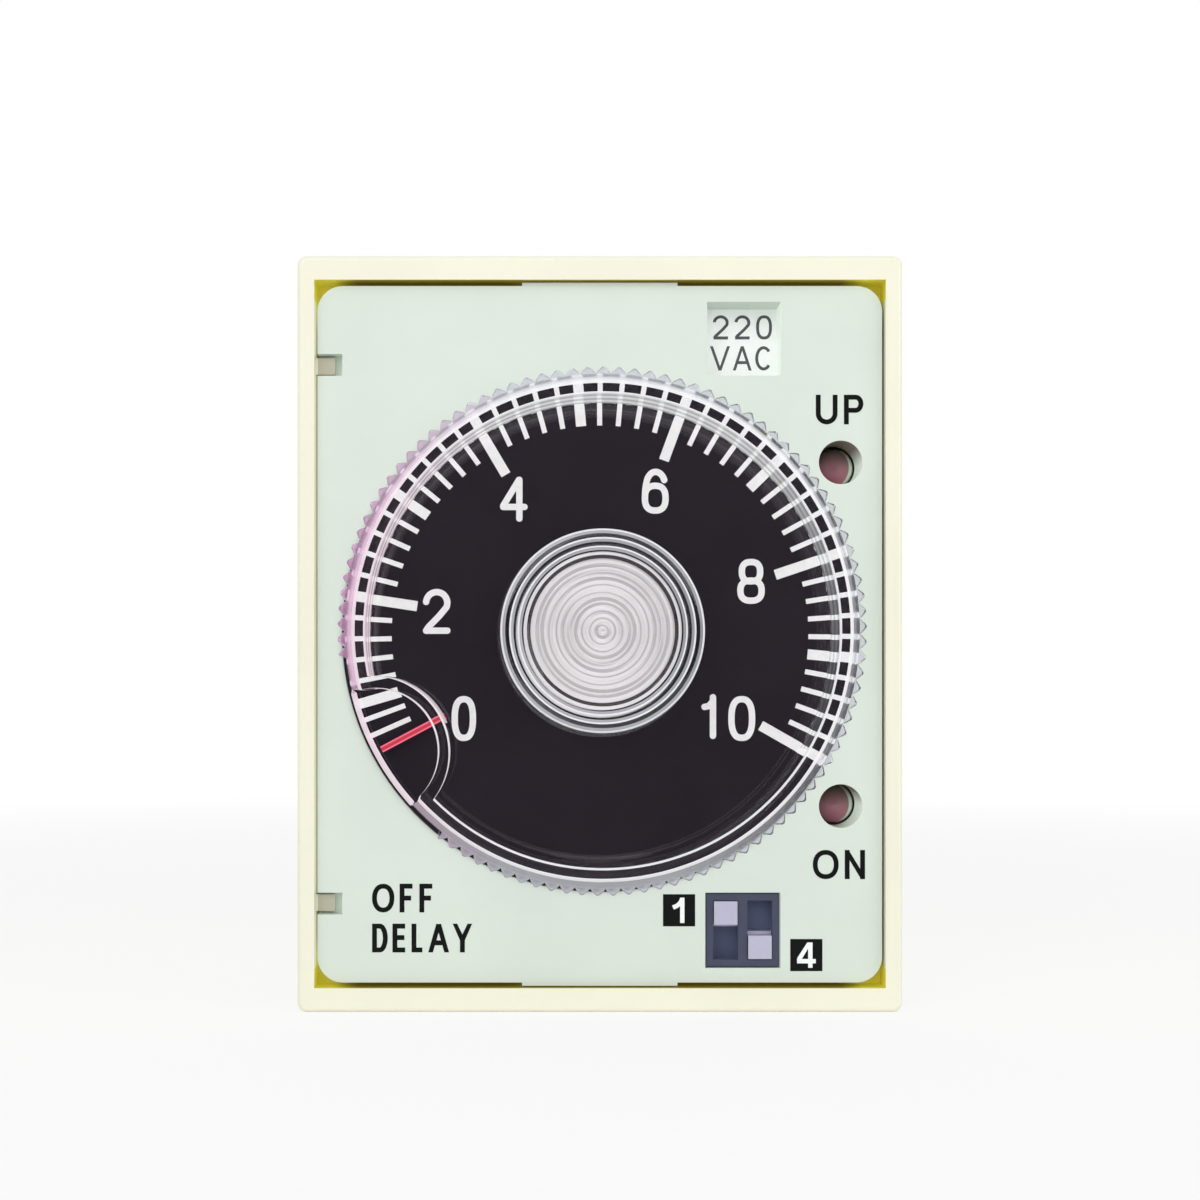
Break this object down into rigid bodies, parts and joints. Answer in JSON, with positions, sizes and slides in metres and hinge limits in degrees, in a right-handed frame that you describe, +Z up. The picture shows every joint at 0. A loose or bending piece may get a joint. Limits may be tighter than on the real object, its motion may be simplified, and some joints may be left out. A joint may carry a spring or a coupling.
{
  "type": "power-off delay timer",
  "caption": "Plug-in delay timer: rectangular case with a bezel, clear knurled dial knob over a scale, indicator lamps, range sliders and a round keyed pin plug at the back.",
  "frame": {"origin": "centre of the pin circle on the plug's seating face", "axes": "+Y along the pins, away from the dial; +Z up; +X to the right as seen from the dial's side"},
  "size_m": [0.04, 0.0842, 0.05],
  "materials": {
    "cream_plastic": "satin moulded",
    "mint_plastic": "satin moulded",
    "dial_black": "matt",
    "clear_plastic": "polished clear",
    "pointer_red": "gloss",
    "white_plastic": "satin",
    "lamp_red": "clear gloss",
    "switch_slate": "satin",
    "slider_lavender": "satin",
    "board_green": "satin",
    "pot_metal": "satin",
    "pot_phenolic": "matt",
    "relay_cover": "satin",
    "can_sleeve": "gloss",
    "film_block": "satin",
    "chip_black": "matt",
    "resistor_tan": "satin",
    "plug_black": "satin moulded",
    "pin_plate": "bright plated"
  },
  "bodies": {
    "housing": {"case": "cream_plastic", "front_panel": "mint_plastic", "scale_plate": "dial_black", "rating_card": "white_plastic", "led_up": "lamp_red", "led_on": "lamp_red", "range_switch_body": "switch_slate", "front_board": "board_green", "timing_board": "board_green", "power_board": "board_green", "pot_body": "pot_metal", "pot_cover": "pot_metal", "output_relay": "relay_cover", "storage_capacitor": "can_sleeve", "filter_capacitor": "can_sleeve", "dropper_capacitor": "film_block", "timing_chip": "chip_black", "rectifier_diodes": "chip_black", "resistors": "resistor_tan", "plug_base": "plug_black", "plug_pin_1": "pin_plate", "plug_pin_2": "pin_plate", "plug_pin_3": "pin_plate", "plug_pin_4": "pin_plate", "plug_pin_5": "pin_plate", "plug_pin_6": "pin_plate", "plug_pin_7": "pin_plate", "plug_pin_8": "pin_plate", "pin_leads": "pin_plate"},
    "dial": {"dial_knob": "clear_plastic", "pointer_line": "pointer_red", "dial_shaft": "white_plastic", "pot_rotor": "pot_phenolic"},
    "slider_left": {"range_slider_left": "slider_lavender"},
    "slider_right": {"range_slider_right": "slider_lavender"}
  },
  "joints": [
    {"name": "dial_turn", "type": "hinge", "parent": "housing", "child": "dial", "pos_m": [0, -0.064, 0], "axis": [0, 1, 0], "range_deg": [0, 237.6]},
    {"name": "range_slide_left", "type": "slide", "parent": "housing", "child": "slider_left", "axis": [0, 0, 1], "range_m": [-0.00227, 0]},
    {"name": "range_slide_right", "type": "slide", "parent": "housing", "child": "slider_right", "axis": [0, 0, 1], "range_m": [0, 0.00227]}
  ]
}
